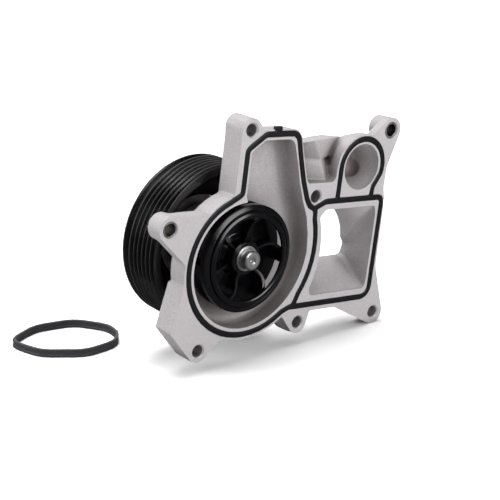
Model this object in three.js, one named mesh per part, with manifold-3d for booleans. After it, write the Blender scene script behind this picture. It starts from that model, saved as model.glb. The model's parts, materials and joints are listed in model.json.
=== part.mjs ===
// Belt-driven coolant pump with a volute housing, a coolant duct and a six-rib pulley.
// Millimetres, +Z up, the pump axis along Y. Geometry is drawn from the mounting face (y = 0),
// and the finished group is moved so that its origin is the middle of the shaft's drive end.
import * as THREE from 'three';
import { mergeVertices } from 'three/addons/utils/BufferGeometryUtils.js';
import { ConvexGeometry } from 'three/addons/geometries/ConvexGeometry.js';
import Module from 'manifold-3d';

const wasm = await Module();
wasm.setup();

// ---------------------------------------------------------------- driving dimensions
const NOSE_Y = -5.5;            // impeller end of the shaft
const DRIVE_END_Y = 47.5;       // pulley end of the shaft
const FIT = 0.1;                // gap drawn between pressed-together round parts
const CLEARANCE = 0.35;         // gap drawn between a soft part and its groove
const HALF_TURN = Math.PI;
const INNER_SEGMENTS = 20;      // facets round the hidden round parts
const OUTER_SEGMENTS = 40;      // facets round the pulley and the impeller

// flow passages
const LIP_START = 35.2;         // volute wall radius at 180 degrees
const LIP_GROWTH = 2.7;         // growth of that radius per radian
const SEAL_START = 38.5;        // the face seal's centre line beside the volute
const SEAL_GROWTH = 2.85;
const RIM_START = 41.3;         // outside of the volute
const RIM_GROWTH = 2.98;
const VOLUTE_DEPTH = 12;
const VOLUTE_BACK = 15;
const DUCT_BACK = 24;           // rear flange of the coolant duct
const PORT = { x: 77.5, z: 46.1, radius: 13.05, wall: 18.8 };
const CROSS_BODY = { y: 14, z: 49.5, radius: 9.6, end: 72 };    // blind branch beside the port
const CROSS_POCKET = { y: 11.5, z: 43.6, radius: 5.8, start: 67, end: 86 };
const RELIEF_RADIUS = 47.4;     // space kept for the pulley behind the housing
const RELIEF_Y = 21.8;
const SNOUT_END = 41.6;         // rear end of the bearing housing

// face seal and duct gasket
const SEAL_HALF = 1.5;
const SEAL_PROUD = 0.5;
const GROOVE_DEPTH = 2;
const GASKET = {
  x: 74.6, z: -2, halfWidth: 24, halfHeight: 28, wall: 1.6, height: 4.6, proud: 1.2,
};

// bolt holes in the mounting face, clearance for M6
const BOLT_RADIUS = 3.5;
const BOLTS = {
  topLeft: [-7, 69.7],
  middle: [45.5, 31],
  topRight: [97.3, 66.2],
  lowerRight: [103.7, -42],
  lower: [43.9, -41.2],
  left: [-53.8, 19.8],
  lowerLeft: [-26.2, -49],
};
const SLEEVES = {
  dowel_sleeve_left: { at: BOLTS.left, outer: 4.2, inner: 3.4 },
  dowel_sleeve_right: { at: BOLTS.topRight, outer: 4.5, inner: 3.5 },
};
const SLEEVE_LENGTH = 8;

// impeller
const IMPELLER = {
  radius: 29.5, eye: 23.1, back: [8.6, 10.6], hub: 9.5, insert: 7, blades: 6, bladeThickness: 1.5,
};

// shaft bearing: a row of balls and a row of rollers between the shaft and one long outer race
const SHAFT_RADIUS = 7.9;
const NOSE_RADIUS = 5.3;
const RACE = { outer: 15, inner: 12.95, start: 20.6, end: 41.2 };
const ROW_RADIUS = 10.3;
const BALL = { y: 27, radius: 2.6, count: 8 };
const TRACK = { inner: ROW_RADIUS - 2.75, outer: ROW_RADIUS + 2.95, half: 0.5, slope: 0.9 };
const ROLLER = { y: 35, radius: 2.3, length: 7, count: 8 };

// pulley with six PK ribs
const RIB_PITCH = 3.56;
const RIBS = 6;
const PULLEY = {
  radius: 45.87, groove: 2.7, firstCrest: 42.57, nearEdge: 21.2, farEdge: 48.9, bore: 40.3,
};

// ---------------------------------------------------------------- materials
function material(color, roughness, metalness) {
  return new THREE.MeshStandardMaterial({ color, roughness, metalness });
}
const FINISH = {
  castAluminium: () => material(0xc9c5c3, 0.55, 0.75),
  blackRubber: () => material(0x17171a, 0.6, 0),
  blackPlastic: () => material(0x101114, 0.25, 0),
  pulleyBlack: () => material(0x0c0d0f, 0.3, 0.1),
  steel: () => material(0xb8b9bc, 0.3, 1),
  bearingSteel: () => material(0xa9abb0, 0.22, 1),
  springSteel: () => material(0x8f9298, 0.35, 1),
  carbon: () => material(0x2a2b2d, 0.5, 0.1),
  ceramic: () => material(0xd9d6cd, 0.35, 0),
  cagePlastic: () => material(0xb79a5b, 0.55, 0),
};

// ---------------------------------------------------------------- solids
// Turns a closed geometry into a manifold solid with its faces pointing out.
function solid(geometry) {
  const bare = geometry.clone();
  bare.deleteAttribute('normal');
  bare.deleteAttribute('uv');
  const merged = mergeVertices(bare, 1e-4);
  const position = merged.attributes.position.array;
  const index = Uint32Array.from(merged.index.array);
  let volume = 0;
  const [a, b, c] = [new THREE.Vector3(), new THREE.Vector3(), new THREE.Vector3()];
  for (let i = 0; i < index.length; i += 3) {
    a.fromArray(position, 3 * index[i]);
    b.fromArray(position, 3 * index[i + 1]);
    c.fromArray(position, 3 * index[i + 2]);
    volume += a.dot(b.cross(c));
  }
  if (volume < 0) {
    for (let i = 0; i < index.length; i += 3) {
      [index[i], index[i + 1]] = [index[i + 1], index[i]];
    }
  }
  const kept = [];
  for (let i = 0; i < index.length; i += 3) {
    const [p, q, r] = [index[i], index[i + 1], index[i + 2]];
    if (p !== q && q !== r && r !== p) {
      kept.push(p, q, r);
    }
  }
  const mesh = new wasm.Mesh({
    numProp: 3,
    vertProperties: Float32Array.from(position),
    triVerts: Uint32Array.from(kept),
  });
  return new wasm.Manifold(mesh);
}

function union(solids) {
  return solids.reduce((sum, next) => sum.add(next));
}

function cutAll(body, cutters) {
  return cutters.reduce((rest, cutter) => rest.subtract(cutter), body);
}

function piece(name, body, finish) {
  const { vertProperties, triVerts } = body.getMesh();
  const geometry = new THREE.BufferGeometry();
  geometry.setAttribute('position', new THREE.BufferAttribute(Float32Array.from(vertProperties), 3));
  geometry.setIndex(new THREE.BufferAttribute(Uint32Array.from(triVerts), 1));
  geometry.computeVertexNormals();
  const mesh = new THREE.Mesh(geometry, finish());
  mesh.name = name;
  return mesh;
}

// A solid of revolution about the pump axis; the profile is a closed loop of [radius, y].
function turned(profile, segments = INNER_SEGMENTS) {
  const points = profile.map(([r, y]) => new THREE.Vector2(r, y));
  const closed = profile[0][0] === 0 && profile.at(-1)[0] === 0 ? points : [...points, points[0]];
  return solid(new THREE.LatheGeometry(closed, segments));
}

function tube(outer, inner, start, end, segments = INNER_SEGMENTS) {
  return turned([[inner, start], [outer, start], [outer, end], [inner, end]], segments);
}

function rod(radius, start, end, segments = INNER_SEGMENTS) {
  return turned([[0, start], [radius, start], [radius, end], [0, end]], segments);
}

// ---------------------------------------------------------------- outlines, as lists of [x, z]
function polar([x, z], radius, angle) {
  return [x + radius * Math.cos(angle), z + radius * Math.sin(angle)];
}

function arc(centre, radius, fromDegrees, toDegrees, stepDegrees = 6) {
  const steps = Math.max(1, Math.ceil(Math.abs(toDegrees - fromDegrees) / stepDegrees));
  return Array.from({ length: steps + 1 }, (_, i) => {
    const angle = THREE.MathUtils.degToRad(fromDegrees + ((toDegrees - fromDegrees) * i) / steps);
    return polar(centre, radius, angle);
  });
}

// Points of radius start + growth * (angle - 180 degrees), the law that a volute wall follows.
function spiral(start, growth, fromDegrees, toDegrees, stepDegrees = 7.5) {
  const steps = Math.ceil((toDegrees - fromDegrees) / stepDegrees);
  return Array.from({ length: steps + 1 }, (_, i) => {
    const angle = THREE.MathUtils.degToRad(fromDegrees + ((toDegrees - fromDegrees) * i) / steps);
    return polar([0, 0], start + growth * (angle - HALF_TURN), angle);
  });
}

// Rounds the corners of a path; a corner is [x, z] or [x, z, fillet radius].
function rounded(corners, closed = true) {
  const path = [];
  corners.forEach(([x, z, radius = 0], i) => {
    const before = corners[(i + corners.length - 1) % corners.length];
    const after = corners[(i + 1) % corners.length];
    const isEnd = !closed && (i === 0 || i === corners.length - 1);
    if (radius === 0 || isEnd) {
      path.push([x, z]);
      return;
    }
    const corner = new THREE.Vector2(x, z);
    const toBefore = new THREE.Vector2(before[0], before[1]).sub(corner).normalize();
    const toAfter = new THREE.Vector2(after[0], after[1]).sub(corner).normalize();
    const half = Math.acos(THREE.MathUtils.clamp(toBefore.dot(toAfter), -1, 1)) / 2;
    const reach = radius / Math.tan(half);
    const start = corner.clone().addScaledVector(toBefore, reach);
    const end = corner.clone().addScaledVector(toAfter, reach);
    const middle = toBefore.clone().add(toAfter).normalize();
    const centre = corner.clone().addScaledVector(middle, radius / Math.sin(half));
    const from = Math.atan2(start.y - centre.y, start.x - centre.x);
    let sweep = Math.atan2(end.y - centre.y, end.x - centre.x) - from;
    sweep -= 2 * Math.PI * Math.round(sweep / (2 * Math.PI));
    const steps = Math.max(2, Math.ceil(Math.abs(sweep) / 0.3));
    for (let k = 0; k <= steps; k += 1) {
      path.push(polar([centre.x, centre.y], radius, from + (sweep * k) / steps));
    }
  });
  return path;
}

function counterClockwise(points) {
  const vectors = points.map(([x, z]) => new THREE.Vector2(x, z));
  return THREE.ShapeUtils.area(vectors) < 0 ? [...points].reverse() : points;
}

function convexOutline(points) {
  const sorted = [...points].sort((p, q) => p[0] - q[0] || p[1] - q[1]);
  const turn = (o, a, b) => (a[0] - o[0]) * (b[1] - o[1]) - (a[1] - o[1]) * (b[0] - o[0]);
  const chain = (list) => list.reduce((line, p) => {
    while (line.length > 1 && turn(line.at(-2), line.at(-1), p) <= 0) {
      line.pop();
    }
    line.push(p);
    return line;
  }, []);
  return [...chain(sorted).slice(0, -1), ...chain(sorted.reverse()).slice(0, -1)];
}

// Moves every side of a counter-clockwise outline inwards by a distance.
function inset(points, distance) {
  const outline = counterClockwise(points);
  return outline.map(([x, z], i) => {
    const [px, pz] = outline[(i + outline.length - 1) % outline.length];
    const [nx, nz] = outline[(i + 1) % outline.length];
    const first = new THREE.Vector2(pz - z, x - px).normalize();
    const second = new THREE.Vector2(z - nz, nx - x).normalize();
    const sum = first.clone().add(second);
    const scale = Math.min(distance / Math.max(first.dot(sum), 0.3), 3 * Math.abs(distance));
    return [x + sum.x * scale, z + sum.y * scale];
  });
}

// A band of even width along a path, for a seal or the groove that holds it.
function band(path, halfWidth, closed) {
  const side = (sign) => path.map(([x, z], i) => {
    const last = path.length - 1;
    const [px, pz] = path[closed ? (i + last) % path.length : Math.max(i - 1, 0)];
    const [nx, nz] = path[closed ? (i + 1) % path.length : Math.min(i + 1, last)];
    const along = new THREE.Vector2(nx - px, nz - pz).normalize();
    return [x - sign * halfWidth * along.y, z + sign * halfWidth * along.x];
  });
  return closed ? [side(1), side(-1)] : [[...side(1), ...side(-1).reverse()]];
}

// Points at even steps along a path, its ends included.
function resample(path, count) {
  const vectors = path.map(([x, z]) => new THREE.Vector3(x, z, 0));
  const curve = new THREE.CurvePath();
  vectors.slice(1).forEach((end, i) => curve.add(new THREE.LineCurve3(vectors[i], end)));
  return curve.getSpacedPoints(count - 1).map((p) => [p.x, p.y]);
}

// ---------------------------------------------------------------- extruded and lofted solids
// A wall through rings of equal length; a ring is { y, points } and the ends are flat.
function loft(rings) {
  const count = rings[0].points.length;
  const positions = rings.flatMap(({ y, points }) => points.flatMap(([x, z]) => [x, y, z]));
  const index = [];
  for (let r = 0; r + 1 < rings.length; r += 1) {
    for (let i = 0; i < count; i += 1) {
      const [a, b] = [r * count + i, r * count + ((i + 1) % count)];
      index.push(a, b, a + count, b, b + count, a + count);
    }
  }
  const cap = (ring, base, flip) => {
    const contour = ring.points.map(([x, z]) => new THREE.Vector2(x, z));
    THREE.ShapeUtils.triangulateShape(contour, []).forEach(([a, b, c]) => {
      index.push(...(flip ? [base + a, base + c, base + b] : [base + a, base + b, base + c]));
    });
  };
  cap(rings[0], 0, true);
  cap(rings.at(-1), (rings.length - 1) * count, false);
  const geometry = new THREE.BufferGeometry();
  geometry.setAttribute('position', new THREE.Float32BufferAttribute(positions, 3));
  geometry.setIndex(index);
  return solid(geometry);
}

// An outline extruded along y; each level is [y, inset], so walls can be drafted or filleted.
function prism(points, levels) {
  const outline = counterClockwise(points);
  return loft(levels.map(([y, d]) => ({ y, points: d === 0 ? outline : inset(outline, d) })));
}

function plate(points, start, end) {
  return prism(points, [[start, 0], [end, 0]]);
}

function bandSolid(path, halfWidth, closed, start, end) {
  const outlines = band(path, halfWidth, closed).map(counterClockwise);
  if (!closed) {
    return plate(outlines[0], start, end);
  }
  const size = (points) => THREE.ShapeUtils.area(points.map(([x, z]) => new THREE.Vector2(x, z)));
  const [outer, inner] = size(outlines[0]) > size(outlines[1]) ? outlines : outlines.reverse();
  return plate(outer, start, end).subtract(plate(inner, start - 1, end + 1));
}

// The convex solid round a list of [x, y, z] corners.
function hull(corners) {
  return solid(new ConvexGeometry(corners.map((corner) => new THREE.Vector3(...corner))));
}

function standing(radius, [x, z], start, end, segments = 12) {
  return rod(radius, start, end, segments).translate([x, 0, z]);
}

// The points where rays from a centre meet an outline that the centre sees all of.
function starRing([cx, cz], outline, count) {
  return Array.from({ length: count }, (_, k) => {
    const angle = (2 * Math.PI * k) / count;
    const [dx, dz] = [Math.cos(angle), Math.sin(angle)];
    let best = 0;
    outline.forEach(([ax, az], i) => {
      const [bx, bz] = outline[(i + 1) % outline.length];
      const [ex, ez] = [bx - ax, bz - az];
      const cross = dx * ez - dz * ex;
      if (Math.abs(cross) < 1e-12) {
        return;
      }
      const t = ((ax - cx) * ez - (az - cz) * ex) / cross;
      const s = ((ax - cx) * dz - (az - cz) * dx) / cross;
      if (t > 0 && s >= -1e-9 && s <= 1 + 1e-9) {
        best = Math.max(best, t);
      }
    });
    return [cx + best * dx, cz + best * dz];
  });
}

// Two equal arcs that meet in a corner at the top and at the bottom.
function lens({ x, z, halfWidth, halfHeight }, grow = 0, step = 7.5) {
  const [w, h] = [halfWidth + grow, halfHeight + grow];
  const radius = (w * w + h * h) / (2 * w);
  const half = THREE.MathUtils.radToDeg(Math.asin(h / radius));
  const right = arc([x - (radius - w), z], radius, -half, half, step);
  const left = arc([x + (radius - w), z], radius, 180 - half, 180 + half, step);
  return [...right, ...left.slice(1, -1)];
}

// ---------------------------------------------------------------- housing
const channelInside = [
  [-3.9, 31.4], [-5.2, 34], [-5.2, 58], [3.5, 64], [20.5, 64], [23.2, 63.1], [24.7, 61.2],
  [28.75, 50], [31.7, 40], [35.4, 30], [40.2, 20], [42.7, 10], [43.7, 0],
];
const channelOutside = rounded([
  [-13.3, 28], [-13.3, 69.8], [27.9, 69.8, 8], [30.9, 60], [34, 50], [37.1, 40], [41.5, 30],
  [46, 24], [46, 0], [0, 0],
]);
const sealTop = [
  [45.3, 24.3], [41.6, 25.9, 3], [38.75, 30], [34.5, 40], [31.25, 50], [28.35, 60],
  [26.3, 67.15, 5.5], [3.6, 67.15, 3], [-8.15, 59.3, 3], [-8.15, 35.4, 2.6], [-14, 32.6],
];

function voluteCavity() {
  const wall = spiral(LIP_START, LIP_GROWTH, 97, 360);
  const layers = [[-1, 0], [8.8, 0], [11, 0.9], [VOLUTE_DEPTH, 2.8]];
  const channel = [...channelInside, [41, -12], [0, -12], [-1, 0]];
  return union([
    prism([...wall, [40, 3], [0, 3]], layers),
    prism(channel, layers),
    rod(30.3, -1, VOLUTE_DEPTH, OUTER_SEGMENTS),
  ]);
}

// A round boss at a bolt hole and the web that ties it to the body, each with its own depth.
function lug(centre, radius, depth, draft, webDepth, base) {
  const circle = arc(centre, radius, 0, 342, 18);
  return union([
    prism(circle, [[0, 0], [depth, draft]]),
    prism(convexOutline([...circle, ...base]), [[0, 0], [webDepth, 0.3]]),
  ]);
}

function lugs() {
  const { topLeft, topRight, lowerRight, lower, left, lowerLeft } = BOLTS;
  return [
    lug(topLeft, 6.5, 14.8, 0.1, 14.4, [[-13.3, 29], [1, 69.8], [10, 60]]),
    lug(topRight, 7.4, 12, 0.8, 5.5, [[85, 65.6], [80, 58], [100, 52], [97.8, 45], [88, 50]]),
    lug(lowerRight, 7.2, 11, 0.3, 9.5, [[71, -35.4], [72, -28], [101, -15], [96, -15]]),
    lug(lower, 6.5, 13, 0, 11, [[52, -35.5], [50, -30], [34, -30], [31.6, -36.8]]),
    lug(left, 6.9, 10, -0.4, 8.4, [[-30, 26.9], [-28, 10], [-36, 0.5], [-42, 0.5]]),
    lug(lowerLeft, 6.6, 14, 0.4, 13.7, [[-46.5, -37], [-41, -12], [-30, -12], [-5, -30], [-12, -44.6]]),
  ];
}

function voluteBody() {
  const rim = [...spiral(RIM_START, RIM_GROWTH, 96, 318), ...arc([0, 0], 52, 324, 385)];
  return prism(rim, [[0, 0], [VOLUTE_BACK - 3, 0.6], [VOLUTE_BACK, 2.4]]);
}

function channelBody() {
  return prism(channelOutside, [[0, 0], [11.5, 0.9], [14.5, 2.2]]);
}

function ductBody() {
  const centre = [74, -3];
  const face = rounded([[42, 30], [99.6, 30, 4], [100.6, -12], [102, -35.4, 5], [42, -35.4]]);
  const back = lens(GASKET, 3.2);
  const count = 48;
  const ring = (y, outline) => ({ y, points: starRing(centre, outline, count) });
  const wall = loft([
    ring(0, face),
    ring(8, inset(face, 0.5)),
    ring(DUCT_BACK - 3.5, lens(GASKET, 2.6)),
    ring(DUCT_BACK, back),
  ]);
  return wall.subtract(tube(RELIEF_RADIUS, 1, RELIEF_Y, DUCT_BACK + 1, 48));
}

// The duct narrows from the window in the face to the opening in the rear flange. Both rings are
// drawn side by side (top, right, bottom, left), so that the creases run from corner to corner.
function ductPassage() {
  const window = {
    top: [[54.6, 23], [91.4, 23]],
    right: [[92.8, 22.4], [93.9, 21], [93.9, -24], [93, -25.6]],
    bottom: [[91.4, -26.3], [52, -26.3]],
    left: [[50.2, -25.8], ...arc([0, 0], 54, -25.5, 20.5, 5)],
  };
  const opening = (floor) => ({
    top: [[65.4, 19.6], [73, 21.6], ...arc([66.5, -4], 26.2, 72, 5, 7)],
    right: [[93, -2.6], [95.3, -5.8], [94, floor + 1.5]],
    bottom: [[92, floor], [57.6, floor]],
    left: [[56, floor + 0.8], ...arc([78.8, -2], 25, 196, 124, 8)],
  });
  const points = ({ top, right, bottom, left }) => [
    ...resample(top, 14), ...resample(right, 10), ...resample(bottom, 8), ...resample(left, 12),
  ].reverse();
  return loft([
    { y: -1, points: points(window) },
    { y: 1, points: points(window) },
    { y: 20, points: points(opening(-14.2)) },
    { y: DUCT_BACK + 1, points: points(opening(-11.5)) },
  ]);
}

function portBody() {
  const { x, z, wall } = PORT;
  const base = [[58.7, 46], [58.7, 29], [99.6, 26], [97.6, 33], [97.8, 45], [100, 52], [90, 55]];
  return [
    prism(arc([x, z], wall, 0, 352.5, 7.5), [
      [0, 0], [6, 0.5], [11, 2.4], [14, 3.3], [18, 5.6], [21.6, 9.4],
    ]),
    plate(base, 0, 12),
  ];
}

// The blind branch behind the recess beside the port: two drafted bodies, whose shared ridge
// runs down the front, falls back from the top and has its knee where they meet.
function crossBody() {
  const { y: axisY, z: axisZ, radius, end } = CROSS_BODY;
  const knee = [[52.8, 6.6, 52.5], [51, 6, 50.3], [30, 13, 51], [62, 13.5, 51]];
  const upper = [
    [40.4, 1.8, 62.1], [31, 12, 58.5], [37, 13, 59.2], [43, 13.5, 60.6], [50, 14, 61.7],
    [57, 14, 62.1], [65, 13, 61.2], [end, 13, 60.8], [end, 14, 51],
  ];
  const lower = [
    [51, 5.6, 46.6], [54.6, 4.4, 39.4], [55.6, 4.2, 36], [36, 11, 36], [62, 13.5, 36], [end, 14, 40],
  ];
  const rear = (from, to) => arc([axisY, axisZ], radius, from, to, 22.5)
    .flatMap(([y, z]) => [[33, y, z], [end, y, z]]);
  return union([
    hull([...knee, ...upper, ...rear(0, 90)]),
    hull([...knee.slice(1), ...lower, ...rear(-90, 12)]),
  ]);
}

// The port is a conical bowl, and a round pocket crosses its floor.
function portPassage() {
  const { x, z, radius } = PORT;
  const bowl = turned([
    [0, -1], [radius + 0.5, -1], [radius, 0.8], [radius - 1.2, 4], [radius - 3.6, 9],
    [radius - 5.6, 13], [radius - 8.5, 16], [0, 17.2],
  ], 32).translate([x, 0, z]);
  const { y: pocketY, z: pocketZ, radius: pocketRadius, start, end } = CROSS_POCKET;
  const straight = end - start - pocketRadius;
  const barrel = solid(new THREE.CylinderGeometry(pocketRadius, pocketRadius, straight, 20))
    .rotate([0, 0, 90])
    .translate([start + straight / 2, pocketY, pocketZ]);
  const roundEnd = solid(new THREE.SphereGeometry(pocketRadius, 20, 12))
    .rotate([0, 0, 90])
    .translate([end - pocketRadius, pocketY, pocketZ]);
  return union([bowl, barrel, roundEnd]);
}

function middlePad() {
  const outline = rounded([
    [36.4, 42], [38.4, 38.6, 2], [57, 38.6, 2], [59.4, 42], [62, 30], [55, 22], [40, 18],
  ]);
  return plate(outline, 0, 14);
}

function lowerGusset() {
  const outline = convexOutline([...arc(BOLTS.lower, 7, 180, 360, 20), [30, -38.5], [50, -33]]);
  return plate(outline, 4.5, 13);
}

function snout() {
  return turned([
    [0, 11], [31, 11], [30.4, 15], [25.5, 16.6], [22.6, 19.5], [21, 24],
    [20.2, SNOUT_END - 1], [19.2, SNOUT_END], [0, SNOUT_END],
  ], 32);
}

// Stiffening ribs on the back that slope down from the snout to the bolt lugs; each runs out
// to a radius, where its top has come down to a depth.
function ribs() {
  const [half, from, start, top] = [2, 17, 6, 20.4];
  const rib = ([x, z], to, depth) => {
    const angle = Math.atan2(z, x);
    const corner = (d, y, side) => [
      Math.cos(angle) * d - side * half * Math.sin(angle), y,
      Math.sin(angle) * d + side * half * Math.cos(angle),
    ];
    const corners = [-1, 1].flatMap((side) => [
      corner(from, start, side), corner(from, top, side), corner(30, top, side),
      corner(to, depth, side), corner(to, start, side),
    ]);
    return hull(corners);
  };
  return [
    rib(BOLTS.topLeft, 63, 14.2),
    rib(BOLTS.lowerLeft, 49, 13.4),
    rib(BOLTS.left, 50, 8.2),
    rib(BOLTS.lower, 53, 11.5),
    rib([22, 66], 62, 13.8),
  ];
}

function axisBore() {
  return union([
    rod(14.3, 9, 17.6),
    rod(11.5, 17, 20.8),
    rod(RACE.outer + FIT, 20.4, 45),
  ]);
}

function weepHole() {
  return solid(new THREE.CylinderGeometry(1.8, 1.8, 20, 10).rotateX(Math.PI / 2)).translate([0, 18.7, -20]);
}

const sealPaths = (() => {
  const spiralPart = spiral(SEAL_START, SEAL_GROWTH, 116, 312);
  const junction = [35.5, -31.35];
  const top = rounded(sealTop, false);
  const right = rounded([
    junction, [97.25, -31.35, 6.2], [97.25, 27.75, 3.2], [53.5, 27.75, 4], [45.3, 24.3],
  ], false);
  const between = [
    [45.3, 24.3], [46.3, 22.3],
    ...Array.from({ length: 10 }, (_, i) => {
      const angle = 0.38 - (0.9 * i) / 9;
      return polar([0, 0], 49.05 + 2.6 * angle, angle);
    }),
    [39.4, -28.6], [37.6, -31.35],
  ];
  const port = [
    [61.85, 28.2], [61.85, 37], ...arc([77.85, 46], 16, 180, -16, 9), [88.7, 34.4], [87.95, 28.2],
  ];
  return { ring: [...top, ...spiralPart, ...right.slice(0, -1)], between, port };
})();
const sealTab = [
  [9.4, 66.5], [9.4, 69.3], [8.9, 69.6], [8.9, 71.3],
  [14, 71.3], [14, 69.6], [13.6, 69.3], [13.6, 66.5],
];

function sealNetwork(halfWidth, start, end, grow) {
  const { ring, between, port } = sealPaths;
  return union([
    bandSolid(ring, halfWidth, true, start, end),
    bandSolid(between, halfWidth, false, start, end),
    bandSolid(port, halfWidth, false, start, end),
    plate(inset(sealTab, -grow), start, end),
  ]);
}

function boltHoles() {
  const chamfer = [[0, -1], [BOLT_RADIUS + 1.7, -1], [BOLT_RADIUS, 0.7], [0, 0.7]];
  return Object.values(BOLTS).flatMap(([x, z]) => [
    standing(BOLT_RADIUS, [x, z], -1, 30),
    turned(chamfer, 12).translate([x, 0, z]),
  ]);
}

function sleevePockets() {
  const floor = SLEEVE_LENGTH + 0.6;
  return Object.values(SLEEVES).map(({ at, outer }) => standing(outer + FIT, at, -1, floor));
}

function gasketGroove() {
  const start = DUCT_BACK - (GASKET.height - GASKET.proud) - 0.3;
  const ringOf = (grow, from, to) => plate(lens(GASKET, grow), from, to);
  return ringOf(CLEARANCE, start, DUCT_BACK + 1).subtract(
    ringOf(-GASKET.wall - CLEARANCE, start - 1, DUCT_BACK + 2),
  );
}

function housing() {
  const casting = union([
    voluteBody(), channelBody(), ductBody(), ...portBody(), crossBody(), middlePad(), lowerGusset(),
    snout(), ...ribs(), ...lugs(),
  ]);
  const cutters = [
    voluteCavity(), axisBore(), ductPassage(), portPassage(), weepHole(), gasketGroove(),
    sealNetwork(SEAL_HALF + 0.2, -1, GROOVE_DEPTH, 0.2), ...boltHoles(), ...sleevePockets(),
  ];
  return piece('housing', cutAll(casting, cutters), FINISH.castAluminium);
}

function faceSeal() {
  return piece('face_seal', sealNetwork(SEAL_HALF, -SEAL_PROUD, GROOVE_DEPTH - 0.2, 0), FINISH.blackRubber);
}

function ductGasket() {
  const start = DUCT_BACK + GASKET.proud - GASKET.height;
  const end = DUCT_BACK + GASKET.proud;
  const inside = plate(lens(GASKET, -GASKET.wall), start - 1, end + 1);
  return piece('duct_gasket', plate(lens(GASKET), start, end).subtract(inside), FINISH.blackRubber);
}

function dowelSleeves() {
  return Object.entries(SLEEVES).map(([name, { at, outer, inner }]) => {
    const body = tube(outer, inner, 0.3, SLEEVE_LENGTH, 12).translate([at[0], 0, at[1]]);
    return piece(name, body, FINISH.steel);
  });
}

// ---------------------------------------------------------------- bearing
function outerRace() {
  const { outer, inner, start, end } = RACE;
  const edge = TRACK.half + TRACK.slope;
  const body = turned([
    [inner, start], [outer, start], [outer, end], [inner, end],
    [inner, BALL.y + edge], [TRACK.outer, BALL.y + TRACK.half],
    [TRACK.outer, BALL.y - TRACK.half], [inner, BALL.y - edge],
  ]);
  return piece('bearing_outer_race', body, FINISH.bearingSteel);
}

function bearingSeals() {
  const lip = SHAFT_RADIUS + 0.15;
  const edge = RACE.inner - FIT;
  return [
    piece('bearing_seal_front', tube(edge, lip, RACE.start + 0.4, RACE.start + 1.6), FINISH.blackRubber),
    piece('bearing_seal_rear', tube(edge, lip, RACE.end - 1.6, RACE.end - 0.4), FINISH.blackRubber),
  ];
}

function around(count, make) {
  return Array.from({ length: count }, (_, i) => make(i, (2 * Math.PI * i) / count));
}

function cage(name, y, length, count, pocketRadius, pocketLength) {
  const ring = tube(ROW_RADIUS + 0.9, ROW_RADIUS - 0.9, y - length / 2, y + length / 2);
  const pockets = around(count, (i, angle) => {
    const shape = pocketLength === 0
      ? new THREE.CylinderGeometry(pocketRadius, pocketRadius, 6, 10)
      : new THREE.BoxGeometry(2 * pocketRadius, 6, pocketLength);
    return solid(shape)
      .rotate([90, 0, 0])
      .translate([0, 0, ROW_RADIUS])
      .rotate([0, THREE.MathUtils.radToDeg(angle), 0])
      .translate([0, y, 0]);
  });
  return piece(name, cutAll(ring, pockets), FINISH.cagePlastic);
}

function ballRow() {
  const balls = around(BALL.count, (i, angle) => {
    const body = solid(new THREE.SphereGeometry(BALL.radius, 10, 6))
      .translate([ROW_RADIUS * Math.sin(angle), BALL.y, ROW_RADIUS * Math.cos(angle)]);
    return piece(`bearing_ball_${i + 1}`, body, FINISH.bearingSteel);
  });
  return [cage('ball_cage', BALL.y, 6.6, BALL.count, BALL.radius + 0.2, 0), ...balls];
}

function rollerRow() {
  const rollers = around(ROLLER.count, (i, angle) => {
    const body = rod(ROLLER.radius, ROLLER.y - ROLLER.length / 2, ROLLER.y + ROLLER.length / 2, 12)
      .translate([ROW_RADIUS * Math.sin(angle), 0, ROW_RADIUS * Math.cos(angle)]);
    return piece(`bearing_roller_${i + 1}`, body, FINISH.bearingSteel);
  });
  const pocket = [ROLLER.radius + 0.2, ROLLER.length + 0.4];
  return [cage('roller_cage', ROLLER.y, ROLLER.length + 2, ROLLER.count, ...pocket), ...rollers];
}

// ---------------------------------------------------------------- shaft seal
const seatStart = IMPELLER.back[1] + 0.2;
function shaftSeal() {
  const cup = turned([
    [12.2, 17.4], [12.2, 16.7], [13.4, 16.7], [13.4, 12.4], [14.15, 12.4], [14.15, 17.4],
  ]);
  const carbon = tube(10.4, 8.2, 13.1, 14.9);
  const bellows = turned([
    [8.2, 15.1], [10.6, 15.1], [10.2, 15.6], [10.8, 16.1], [10.8, 16.5], [8.2, 16.5],
  ]);
  return [
    piece('seal_cup', cup, FINISH.steel),
    piece('carbon_ring', carbon, FINISH.carbon),
    piece('seal_bellows', bellows, FINISH.blackRubber),
    sealSpring(),
  ];
}

function sealSpring() {
  const turns = 1.5;
  const wireRadius = 0.45;
  const [coilRadius, start, rise] = [12, 13.3, 2.4];
  class Helix extends THREE.Curve {
    getPoint(t, target = new THREE.Vector3()) {
      const angle = 2 * Math.PI * turns * t;
      return target.set(coilRadius * Math.cos(angle), start + rise * t, coilRadius * Math.sin(angle));
    }
  }
  const hexagon = arc([0, 0], wireRadius, 0, 300, 60);
  const wire = new THREE.Shape(hexagon.map(([x, y]) => new THREE.Vector2(x, y)));
  const sweep = { steps: 24, extrudePath: new Helix(), bevelEnabled: false };
  return piece('seal_spring', solid(new THREE.ExtrudeGeometry(wire, sweep)), FINISH.springSteel);
}

function seat() {
  return [
    piece('seat_ring', tube(11, 7.6, seatStart + 0.9, 12.9), FINISH.ceramic),
    piece('seat_boot', turned([
      [6.3, seatStart], [11, seatStart], [11, seatStart + 0.8],
      [7.5, seatStart + 0.8], [7.5, 12.9], [6.3, 12.9],
    ]), FINISH.blackRubber),
  ];
}

function slinger() {
  return piece('slinger', turned([
    [6.3, 18], [8.2, 18], [10.6, 18.8], [10.6, 19.4], [8, 19], [6.3, 19],
  ]), FINISH.blackRubber);
}

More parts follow.
